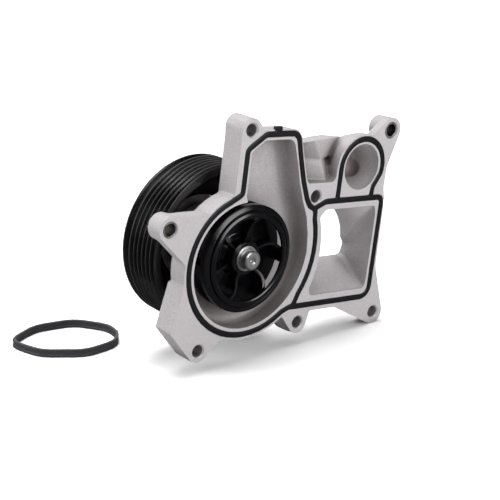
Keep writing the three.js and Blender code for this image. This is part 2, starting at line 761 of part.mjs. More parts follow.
// ---------------------------------------------------------------- rotor
function shaft() {
  const edge = TRACK.half + TRACK.slope;
  const body = turned([
    [0, NOSE_Y], [NOSE_RADIUS - 0.6, NOSE_Y], [NOSE_RADIUS, NOSE_Y + 0.6], [NOSE_RADIUS, 10.5],
    [6, 10.7], [6, 20], [SHAFT_RADIUS, 20.4], [SHAFT_RADIUS, BALL.y - edge],
    [TRACK.inner, BALL.y - TRACK.half], [TRACK.inner, BALL.y + TRACK.half], [SHAFT_RADIUS, BALL.y + edge],
    [SHAFT_RADIUS, DRIVE_END_Y - 0.6], [SHAFT_RADIUS - 0.6, DRIVE_END_Y], [0, DRIVE_END_Y],
  ]);
  return piece('shaft', body, FINISH.steel);
}

// A blade runs out radially as far as the bend radius, and from there it sweeps back.
function bladeOutline(startAngle) {
  const [root, bend, tip, steps] = [8.6, 16, 28.6, 10];
  const sweepBack = THREE.MathUtils.degToRad(0.2);
  const camber = Array.from({ length: steps + 1 }, (_, i) => {
    const radius = root + ((tip - root) * i) / steps;
    return polar([0, 0], radius, startAngle - sweepBack * Math.max(0, radius - bend) ** 2);
  });
  return band(camber, IMPELLER.bladeThickness / 2, false)[0];
}

function impeller() {
  const { radius, eye, back, hub, insert, blades } = IMPELLER;
  const disc = turned([
    [insert + FIT, 0], [hub - 0.6, 0], [hub, 0.8], [hub, 6.4], [hub + 2.2, back[0]], [radius, back[0]],
    [radius, back[1]], [insert + FIT, back[1]],
  ], OUTER_SEGMENTS);
  const inFront = turned([
    [0, -8], [40, -8], [40, 2.7], [radius - 1.6, 2.7], [eye + 4.3, 0.9], [eye + 1.2, -0.2],
    [eye, 0.2], [13.7, 3.2], [0, 3.6],
  ], OUTER_SEGMENTS);
  const vanes = around(blades, (i, angle) => {
    const startAngle = angle + THREE.MathUtils.degToRad(21);
    return plate(bladeOutline(startAngle), -2, back[0] + 0.4).subtract(inFront);
  });
  const holes = around(3, (i, angle) => standing(1.2, polar([0, 0], 12.2, angle + 4.45), 8, 11, 8));
  const body = cutAll(union([disc, ...vanes]), holes);
  return piece('impeller', body, FINISH.blackPlastic);
}

function impellerShroud() {
  const { radius, eye } = IMPELLER;
  const body = turned([
    [eye, -2.6], [eye + 0.4, -3], [eye + 2.6, -3], [eye + 3, -2.6], [eye + 3, -1], [eye + 3.7, -1],
    [eye + 3.7, -1.8], [radius, -1.8], [radius + 0.3, -1.5],
    [radius + 0.3, 2.3], [radius - 1.4, 2.3], [eye + 4.2, 0.6], [eye + 1.2, -0.6], [eye, -1.2],
  ], OUTER_SEGMENTS);
  return piece('impeller_shroud', body, FINISH.blackPlastic);
}

function impellerInsert() {
  return piece('impeller_insert', tube(IMPELLER.insert, NOSE_RADIUS + FIT, -0.5, 10.4), FINISH.steel);
}

function driveHub() {
  const body = turned([
    [SHAFT_RADIUS + FIT, 42.2], [12.5, 42.2], [12.5, 43.6],
    [24, 43.6], [24, 46.6], [SHAFT_RADIUS + FIT, 46.6],
  ]);
  return piece('drive_hub', body, FINISH.steel);
}

function pulley() {
  const { radius, groove, firstCrest, nearEdge, farEdge, bore } = PULLEY;
  const crestHalf = 0.55;
  const rootHalf = 0.35;
  const ribbed = Array.from({ length: RIBS }, (_, i) => {
    const valley = firstCrest - RIB_PITCH * (RIBS - i - 0.5);
    return [
      [radius, valley - RIB_PITCH / 2 + crestHalf / 2],
      [radius - groove, valley - rootHalf],
      [radius - groove, valley + rootHalf],
      [radius, valley + RIB_PITCH / 2 - crestHalf / 2],
    ];
  }).flat();
  const lastCrest = firstCrest + crestHalf;
  const body = turned([
    [24.1, 43.4], [33, 43.4], [bore - 3, 42], [bore, 38.5],
    [bore, nearEdge + 0.8], [bore + 0.8, nearEdge], [radius - 0.3, nearEdge],
    ...ribbed, [radius, lastCrest], [radius - groove, lastCrest + 1.2],
    [radius - groove, farEdge - 2.6], [radius - 0.6, farEdge - 1.4], [radius - 0.15, farEdge - 0.8],
    [radius - 0.15, farEdge], [bore + 0.4, farEdge], [bore - 1, farEdge - 2.5], [24.1, farEdge - 2.5],
  ], OUTER_SEGMENTS);
  return piece('pulley', body, FINISH.pulleyBlack);
}

// ---------------------------------------------------------------- assembly
const pump = new THREE.Group();
pump.position.y = -DRIVE_END_Y;
pump.add(
  housing(), faceSeal(), ductGasket(), ...dowelSleeves(),
  outerRace(), ...bearingSeals(), ...ballRow(), ...rollerRow(),
  ...shaftSeal(), ...seat(), slinger(),
  shaft(), impeller(), impellerShroud(), impellerInsert(), driveHub(), pulley(),
);
pump.updateMatrixWorld(true);

export default pump;
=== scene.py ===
"""The looks of a belt-driven coolant pump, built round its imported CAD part.

Lengths in the tables are millimetres in the pump's own frame: x runs along the coolant duct, y is
measured from the mounting face towards the pulley, z is up, and the shaft is the y axis.
"""

import json
import math

import bmesh
import bpy
from mathutils import Matrix, Vector


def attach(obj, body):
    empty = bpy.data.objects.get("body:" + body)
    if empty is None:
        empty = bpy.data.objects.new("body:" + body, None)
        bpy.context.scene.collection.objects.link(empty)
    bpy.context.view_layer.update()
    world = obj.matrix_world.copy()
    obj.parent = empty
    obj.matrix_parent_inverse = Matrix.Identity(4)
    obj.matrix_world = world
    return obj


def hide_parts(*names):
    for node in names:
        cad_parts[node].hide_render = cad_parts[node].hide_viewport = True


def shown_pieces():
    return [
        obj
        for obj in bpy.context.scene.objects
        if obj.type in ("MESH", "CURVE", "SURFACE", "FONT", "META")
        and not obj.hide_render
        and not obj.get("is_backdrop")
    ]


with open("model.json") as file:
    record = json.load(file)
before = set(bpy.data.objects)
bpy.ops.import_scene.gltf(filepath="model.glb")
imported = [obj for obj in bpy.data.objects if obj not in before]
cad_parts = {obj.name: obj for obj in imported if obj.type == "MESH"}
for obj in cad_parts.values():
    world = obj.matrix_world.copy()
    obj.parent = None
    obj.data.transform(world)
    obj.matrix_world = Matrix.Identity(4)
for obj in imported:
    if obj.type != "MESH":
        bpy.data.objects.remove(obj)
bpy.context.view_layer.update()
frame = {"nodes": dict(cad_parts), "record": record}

MM = 0.001
FULL_TURN = 2 * math.pi
MOUNTS = {mount["name"]: mount for mount in frame["record"]["mounts"]}
FACE_Y = MOUNTS["mounting_face"]["pos_m"][1]
SCENE = bpy.context.scene

# driving dimensions, shared with the CAD part
BOLT_RADIUS = 3.5
BOLTS = {
    "top_left": (-7, 69.7),
    "middle": (45.5, 31),
    "top_right": (97.3, 66.2),
    "lower_right": (103.7, -42),
    "lower": (43.9, -41.2),
    "left": (-53.8, 19.8),
    "lower_left": (-26.2, -49),
}
SLEEVES = {
    "dowel_sleeve_left": (BOLTS["left"], 4.2, 3.4),
    "dowel_sleeve_right": (BOLTS["top_right"], 4.5, 3.5),
}
FLANGE_Y = 24
SNOUT_Y = 41.6
DRIVE_END_Y = 47.5
NOSE_Y = -5.5
ROW_RADIUS = 10.3
BALL_Y = 27
BALL_RADIUS = 2.6
ROLLER_Y = 35
ROLLER_RADIUS = 2.3
ROLLER_LENGTH = 7
ROW_COUNT = 8
GASKET = {"x": 74.6, "z": -2, "half_width": 24, "half_height": 28, "wall": 1.6, "height": 4.6}
GASKET_END = 25.2


def spot(x, y, z):
    """A point of the pump's own frame, in the row frame's metres."""
    return Vector((x * MM, FACE_Y + y * MM, z * MM))


# ------------------------------------------------------------------ materials
class Shader:
    """A Principled material with procedural variation, built one node at a time."""

    def __init__(self, name):
        self.material = bpy.data.materials.new(name)
        self.material.use_nodes = True
        self.nodes = self.material.node_tree.nodes
        self.links = self.material.node_tree.links
        self.surface = self.nodes["Principled BSDF"]
        self.place = self.nodes.new("ShaderNodeTexCoord").outputs["Object"]

    def set(self, **values):
        for name, value in values.items():
            self.surface.inputs[name.replace("_", " ")].default_value = value

    def noise(self, scale, detail=3.0, stretch=(1, 1, 1), place=None):
        mapping = self.nodes.new("ShaderNodeMapping")
        mapping.inputs["Scale"].default_value = stretch
        self.links.new(place or self.place, mapping.inputs["Vector"])
        texture = self.nodes.new("ShaderNodeTexNoise")
        texture.inputs["Scale"].default_value = scale
        texture.inputs["Detail"].default_value = detail
        self.links.new(mapping.outputs["Vector"], texture.inputs["Vector"])
        return texture.outputs["Fac"]

    def span(self, value, low, high, start=0.3, end=0.7):
        """The value's middle part, from start to end, spread over low to high."""
        node = self.nodes.new("ShaderNodeMapRange")
        for name, number in zip(("From Min", "From Max", "To Min", "To Max"), (start, end, low, high)):
            node.inputs[name].default_value = number
        self.links.new(value, node.inputs["Value"])
        return node.outputs["Result"]

    def blend(self, factor, first, second):
        """A mix of two colours, each three numbers or another node's output."""
        node = self.nodes.new("ShaderNodeMix")
        node.data_type = "RGBA"
        node.clamp_result = False
        for socket, value in ((node.inputs[6], first), (node.inputs[7], second)):
            if isinstance(value, tuple):
                socket.default_value = (*value, 1)
            else:
                self.links.new(value, socket)
        self.links.new(factor, node.inputs["Factor"])
        return node.outputs[2]

    def colour(self, factor, first, second):
        self.links.new(self.blend(factor, first, second), self.surface.inputs["Base Color"])

    def openness(self, reach_mm):
        """1 on open surfaces, and less the deeper a point lies in a hollow."""
        node = self.nodes.new("ShaderNodeAmbientOcclusion")
        node.samples = 6
        node.inputs["Distance"].default_value = reach_mm * MM
        return node.outputs["AO"]

    def corner(self):
        """A half on flat surfaces, more along outward corners and less along inward ones."""
        return self.nodes.new("ShaderNodeNewGeometry").outputs["Pointiness"]

    def roughness(self, value):
        self.links.new(value, self.surface.inputs["Roughness"])

    def bump(self, height, depth_mm, strength):
        node = self.nodes.new("ShaderNodeBump")
        node.inputs["Strength"].default_value = strength
        node.inputs["Distance"].default_value = depth_mm * MM
        self.links.new(height, node.inputs["Height"])
        self.links.new(node.outputs["Normal"], self.surface.inputs["Normal"])

    def turning(self):
        """Coordinates that stay the same round the shaft, for lathe marks."""
        split = self.nodes.new("ShaderNodeSeparateXYZ")
        self.links.new(self.place, split.inputs["Vector"])
        flat = self.nodes.new("ShaderNodeCombineXYZ")
        self.links.new(split.outputs["X"], flat.inputs["X"])
        self.links.new(split.outputs["Z"], flat.inputs["Y"])
        length = self.nodes.new("ShaderNodeVectorMath")
        length.operation = "LENGTH"
        self.links.new(flat.outputs["Vector"], length.inputs[0])
        joined = self.nodes.new("ShaderNodeCombineXYZ")
        self.links.new(length.outputs["Value"], joined.inputs["X"])
        self.links.new(split.outputs["Y"], joined.inputs["Y"])
        return joined.outputs["Vector"]


def cast_aluminium():
    """Sand-blasted die casting: grainy, with painted shade deep in its hollows and a painted highlight
    along its outward edges.
    """
    shader = Shader("cast_aluminium")
    grain = shader.noise(1500, 5)
    cloud = shader.noise(60, 3)
    shader.set(Metallic=0.15, Specular_IOR_Level=0.4)
    fresh = shader.blend(shader.span(grain, 0, 1), (0.54, 0.515, 0.53), (0.79, 0.757, 0.772))
    patchy = shader.blend(shader.span(cloud, 0, 0.25), fresh, (0.52, 0.48, 0.475))
    # painted shade: the colour turns brownish grey (0.17, 0.145, 0.135) deep in hollows, driven by
    # ambient occlusion
    depth = shader.span(shader.openness(20), 0, 1, 0.2, 0.85)
    hollow = shader.blend(depth, (0.17, 0.145, 0.135), patchy)
    # painted highlight: outward edges are lightened towards near-white (0.93, 0.9, 0.91)
    shader.colour(shader.span(shader.corner(), 0, 0.7, 0.56, 0.66), hollow, (0.93, 0.9, 0.91))
    shader.roughness(shader.span(grain, 0.44, 0.6))
    shader.bump(grain, 0.16, 0.8)
    return shader.material


def machined_aluminium():
    """A milled face with faint straight tool marks and painted shade in its hollows."""
    shader = Shader("machined_aluminium")
    marks = shader.noise(900, 3, (1, 1, 7))
    grain = shader.noise(1900, 3)
    shader.set(Metallic=0.2, Specular_IOR_Level=0.4)
    cut = shader.blend(shader.span(grain, 0, 1), (0.7, 0.665, 0.68), (0.86, 0.825, 0.84))
    # painted shade: the colour darkens towards (0.2, 0.185, 0.18) deep in hollows
    shader.colour(shader.span(shader.openness(9), 0, 1, 0.2, 0.8), (0.2, 0.185, 0.18), cut)
    shader.roughness(shader.span(marks, 0.38, 0.52))
    shader.bump(grain, 0.05, 0.4)
    return shader.material


def black_rubber():
    shader = Shader("black_rubber")
    grain = shader.noise(2600, 3)
    shader.set(Specular_IOR_Level=0.4)
    shader.colour(shader.span(grain, 0, 1), (0.006, 0.006, 0.008), (0.012, 0.012, 0.015))
    shader.roughness(shader.span(grain, 0.3, 0.42))
    shader.bump(grain, 0.02, 0.3)
    return shader.material


def impeller_plastic():
    """Glossy moulded plastic with faint flow clouds."""
    shader = Shader("impeller_plastic")
    flow = shader.noise(120, 3)
    shader.set(Specular_IOR_Level=0.45)
    shader.colour(shader.span(flow, 0, 1), (0.003, 0.003, 0.004), (0.007, 0.007, 0.009))
    shader.roughness(shader.span(flow, 0.14, 0.24))
    shader.bump(shader.noise(1500, 2), 0.008, 0.25)
    return shader.material


def pulley_black():
    shader = Shader("pulley_black")
    marks = shader.noise(500, 2, place=shader.turning())
    shader.set(Specular_IOR_Level=0.6)
    shader.colour(shader.span(marks, 0, 1), (0.002, 0.002, 0.003), (0.005, 0.005, 0.006))
    shader.roughness(shader.span(marks, 0.17, 0.24))
    return shader.material


def turned_metal(name, dark, light, smooth, rough, hollow=None):
    """A turned or ground metal; dark and light are its colour range, hollow the colour of the painted
    shade deep in its hollows.
    """
    shader = Shader(name)
    marks = shader.noise(2600, 4, place=shader.turning())
    shader.set(Metallic=1.0)
    bare = shader.blend(shader.span(marks, 0, 1), dark, light)
    # painted shade: deep in hollows the colour turns to the shade colour, by default the dark one
    shader.colour(shader.span(shader.openness(12), 0, 1, 0.45, 0.95), hollow or dark, bare)
    shader.roughness(shader.span(marks, smooth, rough))
    shader.bump(marks, 0.012, 0.5)
    return shader.material


def dull(name, dark, light, smooth, rough):
    """A moulded or sintered material with a fine grain."""
    shader = Shader(name)
    grain = shader.noise(1400, 3)
    shader.colour(shader.span(grain, 0, 1), dark, light)
    shader.roughness(shader.span(grain, smooth, rough))
    shader.bump(grain, 0.02, 0.4)
    return shader.material


FINISH = {
    "cast_aluminium": cast_aluminium(),
    "black_rubber": black_rubber(),
    "impeller_plastic": impeller_plastic(),
    "pulley_black": pulley_black(),
    "plain_steel": turned_metal("plain_steel", (0.6, 0.6, 0.6), (0.8, 0.8, 0.8), 0.28, 0.42),
    "bearing_steel": turned_metal("bearing_steel", (0.5, 0.51, 0.53), (0.62, 0.63, 0.65), 0.1, 0.2),
    "spring_steel": turned_metal("spring_steel", (0.36, 0.37, 0.39), (0.48, 0.49, 0.51), 0.25, 0.4),
    "carbon": dull("carbon", (0.035, 0.035, 0.04), (0.07, 0.07, 0.075), 0.35, 0.5),
    "ceramic": dull("ceramic", (0.74, 0.72, 0.67), (0.84, 0.82, 0.77), 0.2, 0.32),
    "cage_plastic": dull("cage_plastic", (0.46, 0.34, 0.15), (0.58, 0.45, 0.22), 0.4, 0.55),
}
MACHINED = machined_aluminium()
DRY_RUBBER = dull("dry_rubber", (0.04, 0.04, 0.045), (0.065, 0.065, 0.072), 0.4, 0.55)
# the sleeve bores get a dark brown painted shade (0.05, 0.045, 0.04) deep inside
SLEEVE_STEEL = turned_metal("sleeve_steel", (0.4, 0.39, 0.38), (0.6, 0.59, 0.58), 0.3, 0.45,
                            (0.05, 0.045, 0.04))


# ------------------------------------------------------------------ shapes
def to_mesh(bm):
    bmesh.ops.recalc_face_normals(bm, faces=bm.faces)
    mesh = bpy.data.meshes.new("shape")
    bm.to_mesh(mesh)
    bm.free()
    return mesh


def soften(profile, radius=0.3, steps=4):
    """Fillets the corners of a closed profile; a corner is (r, y) or (r, y, its own radius)."""
    made = []
    for i, corner in enumerate(profile):
        point = Vector(corner[:2])
        reach = corner[2] if len(corner) > 2 else radius
        before = Vector(profile[i - 1][:2]) - point
        after = Vector(profile[(i + 1) % len(profile)][:2]) - point
        if point.x == 0 or reach == 0 or min(before.length, after.length) < 1e-6:
            made.append(tuple(point))
            continue
        half = before.angle(after) / 2
        if half > math.radians(86):
            made.append(tuple(point))
            continue
        cut = min(reach / math.tan(half), 0.45 * before.length, 0.45 * after.length)
        start = point + before.normalized() * cut
        end = point + after.normalized() * cut
        for k in range(steps + 1):
            t = k / steps
            made.append(tuple(start * (1 - t) ** 2 + point * 2 * t * (1 - t) + end * t * t))
    return made


def lathe(profile, segments=128, centre=(0, 0)):
    """A solid of revolution about an axis along y; the profile is a closed loop of (radius, y)."""
    bm = bmesh.new()
    rings = []
    for radius, y in profile:
        count = segments if radius > 0 else 1
        angles = [FULL_TURN * k / count for k in range(count)]
        rings.append([
            bm.verts.new(spot(centre[0] + radius * math.cos(a), y, centre[1] + radius * math.sin(a)))
            for a in angles
        ])
    for first, second in zip(rings, rings[1:] + rings[:1]):
        if len(first) == len(second) == 1:
            continue
        for k in range(segments):
            corners = [first[k % len(first)], first[(k + 1) % len(first)]]
            corners += [second[(k + 1) % len(second)], second[k % len(second)]]
            bm.faces.new(list(dict.fromkeys(corners)))
    return to_mesh(bm)


def tube(outer, inner, start, end, radius=0.3):
    return lathe(soften([(inner, start), (outer, start), (outer, end), (inner, end)], radius))


def rod(radius, start, end, segments, centre):
    return lathe([(0, start), (radius, start), (radius, end), (0, end)], segments, centre)


def block(low, high):
    bm = bmesh.new()
    bmesh.ops.create_cube(bm, size=1)
    low, high = spot(*low), spot(*high)
    for vertex in bm.verts:
        vertex.co = Vector(high[k] if vertex.co[k] > 0 else low[k] for k in range(3))
    return to_mesh(bm)


def upright(outline, start, end):
    """An outline of (x, z) points, extruded along y."""
    bm = bmesh.new()
    near = [bm.verts.new(spot(x, start, z)) for x, z in outline]
    far = [bm.verts.new(spot(x, end, z)) for x, z in outline]
    bm.faces.new(near)
    bm.faces.new(far)
    for k in range(len(near)):
        after = (k + 1) % len(near)
        bm.faces.new((near[k], near[after], far[after], far[k]))
    return to_mesh(bm)


def sweep(path, section):
    """A closed ring along a path of (x, z), mitred; the section is a loop of (across, y)."""
    bm = bmesh.new()
    rings = []
    for k, point in enumerate(path):
        here = Vector(point)
        into = (here - Vector(path[k - 1])).normalized()
        out = (Vector(path[(k + 1) % len(path)]) - here).normalized()
        normal = Vector((into.y + out.y, -into.x - out.x))
        scale = 2 / normal.length_squared
        rings.append([
            bm.verts.new(spot(here.x + normal.x * scale * u, y, here.y + normal.y * scale * u))
            for u, y in section
        ])
    for first, second in zip(rings, rings[1:] + rings[:1]):
        for k in range(len(section)):
            after = (k + 1) % len(section)
            bm.faces.new((first[k], first[after], second[after], second[k]))
    return to_mesh(bm)


def applied(mesh, kind, **settings):
    """The mesh after one modifier."""
    holder = bpy.data.objects.new("holder", mesh)
    SCENE.collection.objects.link(holder)
    modifier = holder.modifiers.new("step", kind)
    for name, value in settings.items():
        setattr(modifier, name, value)
    graph = bpy.context.evaluated_depsgraph_get()
    result = bpy.data.meshes.new_from_object(holder.evaluated_get(graph), depsgraph=graph)
    bpy.data.objects.remove(holder)
    return result


def combine(mesh, other, operation, material=None):
    """A boolean of two meshes; faces that come from the other one take the material."""
    if material is not None:
        other.materials.clear()
        other.materials.append(material)
    tool = bpy.data.objects.new("tool", other)
    SCENE.collection.objects.link(tool)
    settings = {"operation": operation, "solver": "MANIFOLD", "object": tool}
    if material is not None:
        settings["material_mode"] = "TRANSFER"
    result = applied(mesh, "BOOLEAN", **settings)
    bpy.data.objects.remove(tool)
    return result


def welded(node):
    """A copy of a CAD node's mesh as one skin without split vertices."""
    bm = bmesh.new()
    bm.from_mesh(frame["nodes"][node].data)
    bmesh.ops.remove_doubles(bm, verts=bm.verts, dist=MM * 1e-3)
    return to_mesh(bm)


def rounded(mesh, voxel_mm, iterations):
    """The same solid with its facets and corners worn smooth."""
    fine = applied(mesh, "REMESH", mode="VOXEL", voxel_size=voxel_mm * MM)
    return applied(fine, "SMOOTH", factor=0.5, iterations=iterations)


def thinned(mesh, faces):
    """The same surface in at most this many triangles."""
    mesh.calc_loop_triangles()
    count = len(mesh.loop_triangles)
    if count <= faces:
        return mesh
    return applied(mesh, "DECIMATE", ratio=faces / count)


def add(name, mesh, body, slot, nodes=None, sharp=40):
    """Shows a mesh as a piece on a body, in place of the CAD nodes it stands for."""
    mesh.name = name
    if not any(mesh.materials):
        mesh.materials.clear()
        mesh.materials.append(FINISH[slot])
    mesh.polygons.foreach_set("use_smooth", [True] * len(mesh.polygons))
    mesh.set_sharp_from_angle(angle=math.radians(sharp))
    piece = bpy.data.objects.new(name, mesh)
    SCENE.collection.objects.link(piece)
    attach(piece, body)
    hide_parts(*(nodes or [name]))
    return piece


# ------------------------------------------------------------------ housing and its seals
def housing():
    """A casting with worn corners whose faces and holes are machined afterwards."""
    stock, snout_stock, on_face = 3.0, 1.5, 0.02
    bearing_bore, seal_bore, shaft_bore = 15.1, 14.3, 11.5
    blank = welded("housing")
    for vertex in blank.vertices:
        x, y = vertex.co.x / MM, (vertex.co.y - FACE_Y) / MM
        if abs(y) < on_face:
            vertex.co.y -= stock * MM
        elif abs(y - FLANGE_Y) < on_face and x > 40:
            vertex.co.y += stock * MM
        elif abs(y - SNOUT_Y) < on_face:
            vertex.co.y += snout_stock * MM
    casting = rounded(blank, 0.5, 8)
    casting.materials.clear()
    casting.materials.append(FINISH["cast_aluminium"])
    wide = 200
    cutters = [
        block((-wide, -9, -wide), (wide, 0, wide)),
        block((40, FLANGE_Y, -40), (wide, FLANGE_Y + 9, 40)),
        block((-30, SNOUT_Y, -30), (30, SNOUT_Y + 9, 30)),
        lathe([(0, 20.4), (bearing_bore, 20.4), (bearing_bore, SNOUT_Y - 0.8),
               (bearing_bore + 1, SNOUT_Y + 0.2), (bearing_bore + 1, 50), (0, 50)]),
        lathe([(0, 9), (seal_bore, 9), (seal_bore, 17.6), (shaft_bore, 17.6),
               (shaft_bore, 21), (0, 21)]),
    ]
    chamfer = 0.75
    for centre in BOLTS.values():
        cutters.append(lathe([
            (0, -2), (BOLT_RADIUS + chamfer + 2, -2), (BOLT_RADIUS, chamfer),
            (BOLT_RADIUS, 32), (0, 32),
        ], 64, centre))
    for centre, outer, _ in SLEEVES.values():
        cutters.append(lathe([
            (0, -2), (outer + 2.6, -2), (outer + 0.1, 0.5), (outer + 0.1, 8.6), (0, 8.6),
        ], 64, centre))
    for cutter in cutters:
        casting = combine(casting, cutter, "DIFFERENCE", MACHINED)
    add("housing_casting", thinned(casting, 195000), "pump_body", "cast_aluminium", ["housing"], 32)


def face_seal():
    mesh = rounded(welded("face_seal"), 0.3, 12)
    add("face_seal_moulding", thinned(mesh, 150000), "pump_body", "black_rubber", ["face_seal"], 60)


def lens_path(shrink, steps=40):
    """Two equal arcs that meet in a corner at the top and at the bottom."""
    w, h = GASKET["half_width"] - shrink, GASKET["half_height"] - shrink
    radius = (w * w + h * h) / (2 * w)
    half = math.asin(h / radius)
    path = []
    for side in (0, 1):
        for k in range(steps):
            angle = side * math.pi - half + 2 * half * k / steps
            shift = (1 - 2 * side) * (radius - w)
            path.append((GASKET["x"] - shift + radius * math.cos(angle),
                         GASKET["z"] + radius * math.sin(angle)))
    return path


def gasket_mesh():
    half, end = GASKET["wall"] / 2, GASKET_END
    start = end - GASKET["height"]
    section = soften([
        (-half, start), (half, start), (half, start + 1.2), (half - 0.22, start + 1.5),
        (half - 0.22, end - 1.5), (half, end - 1.2), (half, end), (-half, end),
        (-half, end - 1.2), (0.22 - half, end - 1.5), (0.22 - half, start + 1.5), (-half, start + 1.2),
    ], 0.3, 3)
    return sweep(lens_path(half), section)


def seals_and_sleeves():
    face_seal()
    add("duct_gasket_ring", gasket_mesh(), "pump_body", "black_rubber", ["duct_gasket"])
    for name, (centre, outer, inner) in SLEEVES.items():
        profile = soften([
            (inner, 0.3), (outer - 0.1, 0.3, 0.15), (outer, 1.1), (outer, 8),
            (inner + 0.3, 8), (inner, 7.4),
        ], 0.25)
        sleeve = add(name + "_tube", lathe(profile, 64, centre), "pump_body", "plain_steel", [name])
        sleeve.data.materials[0] = SLEEVE_STEEL


# ------------------------------------------------------------------ bearing
def cage(name, y, length, pocket_half, pocket_length):
    """A cage with a pocket for each rolling element, round for a ball and square for a roller."""
    body = tube(ROW_RADIUS + 0.9, ROW_RADIUS - 0.9, y - length / 2, y + length / 2, 0.2)
    for k in range(ROW_COUNT):
        bm = bmesh.new()
        if pocket_length:
            bmesh.ops.create_cube(bm, size=1, matrix=Matrix.Diagonal(
                (2 * pocket_half, pocket_length, 6, 1)))
        else:
            bmesh.ops.create_cone(bm, cap_ends=True, segments=48, radius1=pocket_half,
                                  radius2=pocket_half, depth=6)
        bmesh.ops.transform(bm, verts=bm.verts, matrix=Matrix.Scale(MM, 4))
        turn = Matrix.Rotation(FULL_TURN * k / ROW_COUNT, 4, "Y")
        place = Matrix.Translation(spot(0, y, 0)) @ turn @ Matrix.Translation((0, 0, ROW_RADIUS * MM))
        bmesh.ops.transform(bm, verts=bm.verts, matrix=place)
        body = combine(body, to_mesh(bm), "DIFFERENCE")
    add(name + "_ring", body, name.replace("cage", "row"), "cage_plastic", [name])


def ball(k, angle):
    bm = bmesh.new()
    bmesh.ops.create_icosphere(bm, subdivisions=4, radius=BALL_RADIUS * MM)
    place = spot(ROW_RADIUS * math.sin(angle), BALL_Y, ROW_RADIUS * math.cos(angle))
    bmesh.ops.translate(bm, verts=bm.verts, vec=place)
    name = f"bearing_ball_{k + 1}"
    add(name + "_polished", to_mesh(bm), "ball_row", "bearing_steel", [name])


def roller(k, angle):
    half = ROLLER_LENGTH / 2
    profile = soften([
        (0, ROLLER_Y - half), (ROLLER_RADIUS, ROLLER_Y - half),
        (ROLLER_RADIUS, ROLLER_Y + half), (0, ROLLER_Y + half),
    ], 0.35)
    centre = (ROW_RADIUS * math.sin(angle), ROW_RADIUS * math.cos(angle))
    name = f"bearing_roller_{k + 1}"
    add(name + "_ground", lathe(profile, 48, centre), "roller_row", "bearing_steel", [name])


def track(radius, depth):
    """The profile points of a ball track; a negative depth is a track in the outer race."""
    half = 1.4
    return [
        (radius - depth * math.sqrt(max(0, 1 - (t / 4) ** 2)), BALL_Y + half * t / 4)
        for t in range(-4, 5)
    ]


def bearing():
    race = soften([
        (12.95, 20.6), (15, 20.6, 0.5), (15, 41.2, 0.5), (12.95, 41.2),
    ], 0.25) + track(12.95, -0.3)[::-1]
    add("bearing_outer_race_ring", lathe(race), "pump_body", "bearing_steel", ["bearing_outer_race"])
    for name, start in (("bearing_seal_front", 21.0), ("bearing_seal_rear", 39.6)):
        profile = soften([
            (8.05, start + 0.2), (9, start + 0.35), (9.6, start), (12.85, start), (12.85, start + 1.2),
            (9.6, start + 1.2), (9, start + 0.85), (8.05, start + 1.0),
        ], 0.15)
        add(name + "_lip", lathe(profile), "pump_body", "black_rubber", [name])
    cage("ball_cage", BALL_Y, 6.6, BALL_RADIUS + 0.2, 0)
    cage("roller_cage", ROLLER_Y, ROLLER_LENGTH + 2, ROLLER_RADIUS + 0.2, ROLLER_LENGTH + 0.4)
    for k in range(ROW_COUNT):
        ball(k, FULL_TURN * k / ROW_COUNT)
    for k in range(ROW_COUNT):
        roller(k, FULL_TURN * k / ROW_COUNT)


# ------------------------------------------------------------------ shaft seal
def spring():
    turns, steps, wire = 1.5, 96, 0.45
    bm = bmesh.new()
    rings = []
    for k in range(steps + 1):
        t = k / steps
        angle = FULL_TURN * turns * t
        outward = Vector((math.cos(angle), 0, math.sin(angle)))
        centre = spot(12 * outward.x, 13.3 + 2.4 * t, 12 * outward.z)
        rings.append([
            bm.verts.new(centre + wire * MM * (outward * math.cos(a) + Vector((0, math.sin(a), 0))))
            for a in (FULL_TURN * j / 12 for j in range(12))
        ])
    for first, second in zip(rings, rings[1:]):
        for j in range(12):
            after = (j + 1) % 12
            bm.faces.new((first[j], first[after], second[after], second[j]))
    bm.faces.new(rings[0])
    bm.faces.new(rings[-1])
    return to_mesh(bm)


def shaft_seal():
    cup = [
        (12.2, 17.4), (12.2, 16.7), (13.4, 16.7, 0.5), (13.4, 12.4), (14.15, 12.4), (14.15, 17.4, 0.9),
    ]
    bellows = [(8.2, 15.1), (10.6, 15.1), (10.2, 15.6), (10.8, 16.1), (10.8, 16.5), (8.2, 16.5)]
    boot = [(6.3, 10.8), (11, 10.8), (11, 11.6), (7.5, 11.6), (7.5, 12.9), (6.3, 12.9)]
    sling = [(6.3, 18), (8.2, 18), (10.6, 18.8), (10.6, 19.4), (8, 19), (6.3, 19)]
    rows = (
        ("seal_cup", cup, "pump_body", "plain_steel"),
        ("seal_bellows", bellows, "pump_body", "black_rubber"),
        ("seat_boot", boot, "rotor", "black_rubber"),
        ("slinger", sling, "rotor", "black_rubber"),
    )
    for name, profile, body, slot in rows:
        add(name + "_turned", lathe(soften(profile, 0.18)), body, slot, [name])
    add("carbon_ring_lapped", tube(10.4, 8.2, 13.1, 14.9, 0.15), "pump_body", "carbon", ["carbon_ring"])
    add("seat_ring_lapped", tube(11, 7.6, 11.7, 12.9, 0.15), "rotor", "ceramic", ["seat_ring"])
    add("seal_spring_coil", spring(), "pump_body", "spring_steel", ["seal_spring"])


# ------------------------------------------------------------------ rotor
def shaft():
    profile = soften([
        (0, NOSE_Y + 2.6), (1.1, NOSE_Y + 2.2), (1.1, NOSE_Y + 1.1), (1.9, NOSE_Y, 0.1),
        (4.7, NOSE_Y), (5.3, NOSE_Y + 0.6), (5.3, 10.5), (6, 10.7), (6, 20), (7.9, 20.4),
    ], 0.2) + track(7.9, 0.35) + soften([
        (7.9, 30, 0), (7.9, DRIVE_END_Y - 0.6), (7.3, DRIVE_END_Y), (0, DRIVE_END_Y),
    ], 0.2)
    add("shaft_turned", lathe(profile), "rotor", "plain_steel", ["shaft"])


